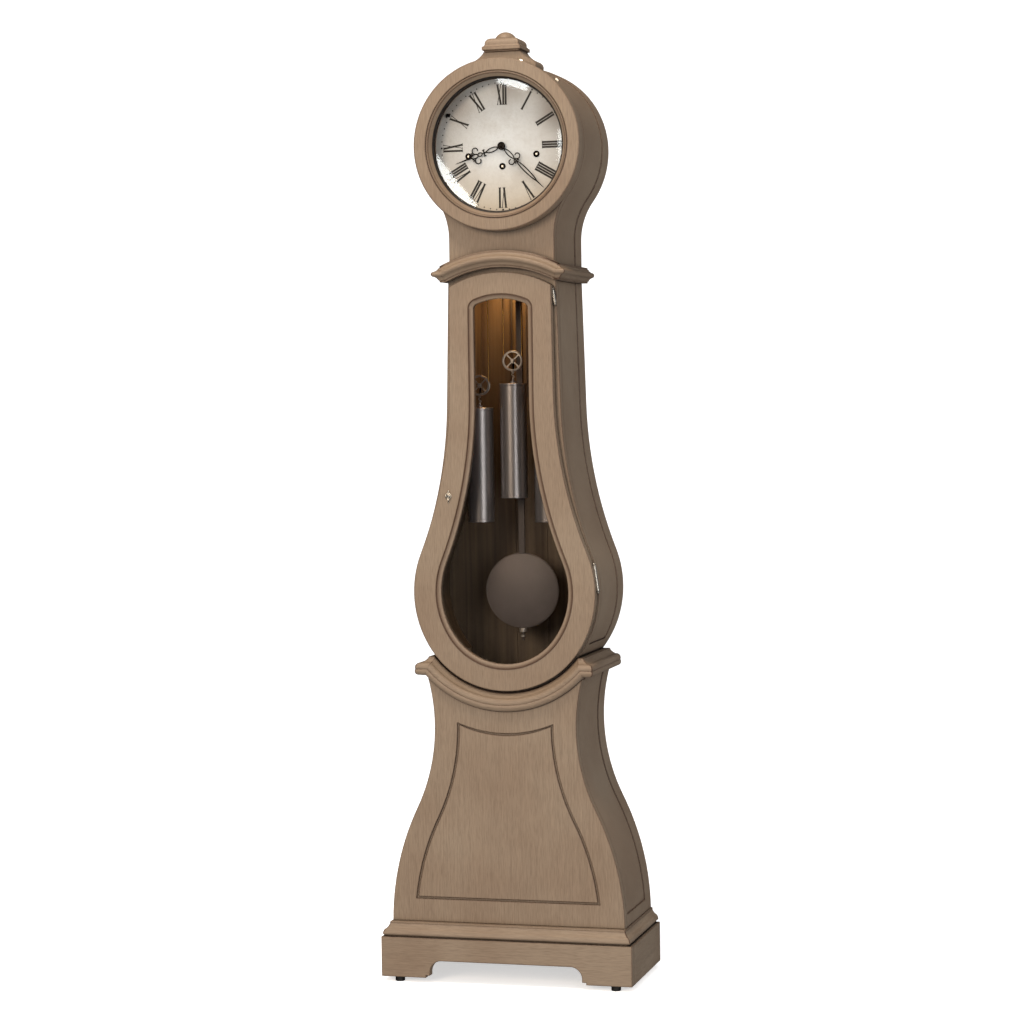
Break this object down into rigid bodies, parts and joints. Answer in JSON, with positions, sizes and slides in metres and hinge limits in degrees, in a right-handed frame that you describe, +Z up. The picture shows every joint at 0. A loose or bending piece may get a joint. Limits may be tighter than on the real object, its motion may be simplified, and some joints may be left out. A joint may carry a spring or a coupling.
{
  "type": "longcase clock",
  "caption": "Tall freestanding longcase clock with a pinched base, bellied glazed waist, round head with a glazed dial door, hanging weights and a swinging pendulum.",
  "frame": {"origin": "on the floor, under the middle of the plinth's outer box", "axes": "+X to the clock's right as the viewer faces it, -Y to the front, +Y to the wall, +Z up"},
  "size_m": [0.5866, 0.2944, 2.1528],
  "materials": {
    "limed_wood": "limed and waxed hand-painted pine",
    "raw_pine": "stained pine, matt",
    "black_plastic": "moulded",
    "painted_dial": "aged cream paint",
    "clear_glass": "polished",
    "nickel": "nickel plated",
    "brass": "brushed",
    "black_steel": "blackened",
    "dark_nickel": "brushed dark nickel",
    "pewter": "dark pewter",
    "grey_steel": "brushed",
    "bronze_cable": "twisted wire",
    "lamp_glass": "warm frosted"
  },
  "bodies": {
    "case": {"back_boards": "raw_pine", "base_floor": "raw_pine", "base_front": "limed_wood", "base_mould_front": "limed_wood", "base_mould_sides": "limed_wood", "base_side_left": "limed_wood", "base_side_right": "limed_wood", "cable_left": "bronze_cable", "cable_middle": "bronze_cable", "cable_right": "bronze_cable", "capital_front": "limed_wood", "capital_sides": "limed_wood", "chime_block": "raw_pine", "chime_rods": "grey_steel", "cornice_front": "limed_wood", "cornice_sides": "limed_wood", "crest_cap": "limed_wood", "crest_pedestal": "limed_wood", "dial": "painted_dial", "glides": "black_plastic", "hood_fittings": "nickel", "hood_front": "limed_wood", "hood_shell": "limed_wood", "interior_lamp": "lamp_glass", "movement_plates": "brass", "plinth_blocks": "raw_pine", "plinth_front": "limed_wood", "plinth_sides": "limed_wood", "seat_posts": "raw_pine", "seatboard": "raw_pine", "waist_front": "limed_wood", "waist_hinge_leaves": "nickel", "waist_side_left": "limed_wood", "waist_side_right": "limed_wood"},
    "waist_door": {"door_frame": "limed_wood", "door_glass": "clear_glass", "door_glass_bead": "limed_wood", "door_hinge_leaves": "nickel", "door_lock": "nickel"},
    "door_key": {"door_key": "nickel"},
    "dial_door": {"bezel": "limed_wood", "bezel_glass": "clear_glass", "bezel_glass_ring": "limed_wood", "bezel_hinge_leaf": "nickel"},
    "minute_hand": {"minute_hand": "black_steel"},
    "hour_hand": {"hour_hand": "black_steel"},
    "minute_wheel": {"minute_wheel": "brass"},
    "selector_lever": {"selector_lever": "black_steel"},
    "pendulum": {"pendulum_rod": "grey_steel", "pendulum_bob": "pewter", "rating_nuts": "brass"},
    "weight_left": {"weight_left": "dark_nickel"},
    "pulley_left": {"pulley_left": "nickel"},
    "drum_left": {"drum_left": "brass"},
    "weight_middle": {"weight_middle": "dark_nickel"},
    "pulley_middle": {"pulley_middle": "nickel"},
    "drum_middle": {"drum_middle": "brass"},
    "weight_right": {"weight_right": "dark_nickel"},
    "pulley_right": {"pulley_right": "nickel"},
    "drum_right": {"drum_right": "brass"}
  },
  "joints": [
    {"name": "waist_door_hinge", "type": "hinge", "parent": "case", "child": "waist_door", "pos_m": [0.122, -0.09925, 1.552], "axis": [-0.1397, 0, 0.9902], "range_deg": [0, 74]},
    {"name": "door_key_turn", "type": "hinge", "parent": "waist_door", "child": "door_key", "pos_m": [-0.1268, -0.11505, 1.1067], "axis": [0, 1, 0], "range_deg": [0, 90]},
    {"name": "dial_door_hinge", "type": "hinge", "parent": "case", "child": "dial_door", "pos_m": [-0.196, -0.09625, 1.893], "axis": [0, 0, -1], "range_deg": [0, 110]},
    {"name": "minute_hand_turn", "type": "hinge", "parent": "case", "child": "minute_hand", "pos_m": [0, -0.07475, 1.893], "axis": [0, 1, 0], "continuous": true},
    {"name": "hour_hand_turn", "type": "hinge", "parent": "case", "child": "hour_hand", "pos_m": [0, -0.07475, 1.893], "axis": [0, 1, 0], "continuous": true},
    {"name": "minute_wheel_turn", "type": "hinge", "parent": "case", "child": "minute_wheel", "pos_m": [0, -0.05575, 1.917], "axis": [0, 1, 0], "continuous": true},
    {"name": "selector_swing", "type": "hinge", "parent": "case", "child": "selector_lever", "pos_m": [-0.092, -0.06775, 1.904], "axis": [0, 1, 0], "range_deg": [-3, 3]},
    {"name": "pendulum_swing", "type": "hinge", "parent": "case", "child": "pendulum", "pos_m": [0, 0.04725, 1.876], "axis": [0, 1, 0], "range_deg": [-3, 3]},
    {"name": "weight_left_slide", "type": "slide", "parent": "case", "child": "weight_left", "axis": [0, 0, 1], "range_m": [-0.3, 0.22], "deforming": ["cable_left"]},
    {"name": "pulley_left_turn", "type": "hinge", "parent": "weight_left", "child": "pulley_left", "pos_m": [-0.0795, -0.01175, 1.356], "axis": [0, 1, 0], "range_deg": [-801, 588]},
    {"name": "drum_left_turn", "type": "hinge", "parent": "case", "child": "drum_left", "pos_m": [-0.0795, -0.01175, 1.8727], "axis": [0, 1, 0], "range_deg": [-1600, 1174]},
    {"name": "weight_middle_slide", "type": "slide", "parent": "case", "child": "weight_middle", "axis": [0, 0, 1], "range_m": [-0.35, 0.2], "deforming": ["cable_middle"]},
    {"name": "pulley_middle_turn", "type": "hinge", "parent": "weight_middle", "child": "pulley_middle", "pos_m": [0, -0.01175, 1.411], "axis": [0, 1, 0], "range_deg": [-934, 534]},
    {"name": "drum_middle_turn", "type": "hinge", "parent": "case", "child": "drum_middle", "pos_m": [0, -0.01175, 1.848], "axis": [0, 1, 0], "range_deg": [-1867, 1067]},
    {"name": "weight_right_slide", "type": "slide", "parent": "case", "child": "weight_right", "axis": [0, 0, 1], "range_m": [-0.3, 0.22], "deforming": ["cable_right"]},
    {"name": "pulley_right_turn", "type": "hinge", "parent": "weight_right", "child": "pulley_right", "pos_m": [0.0795, -0.01175, 1.356], "axis": [0, 1, 0], "range_deg": [-801, 588]},
    {"name": "drum_right_turn", "type": "hinge", "parent": "case", "child": "drum_right", "pos_m": [0.0795, -0.01175, 1.8727], "axis": [0, 1, 0], "range_deg": [-1600, 1174]}
  ],
  "couplings": [
    {"joint": "hour_hand_turn", "follows": "minute_hand_turn", "ratio": 0.083333},
    {"joint": "minute_wheel_turn", "follows": "minute_hand_turn", "ratio": -0.33333},
    {"joint": "pulley_left_turn", "follows": "weight_left_slide", "rad_per_m": 46.512},
    {"joint": "drum_left_turn", "follows": "weight_left_slide", "rad_per_m": 93.023},
    {"joint": "pulley_middle_turn", "follows": "weight_middle_slide", "rad_per_m": 46.512},
    {"joint": "drum_middle_turn", "follows": "weight_middle_slide", "rad_per_m": 93.023},
    {"joint": "pulley_right_turn", "follows": "weight_right_slide", "rad_per_m": 46.512},
    {"joint": "drum_right_turn", "follows": "weight_right_slide", "rad_per_m": 93.023}
  ]
}
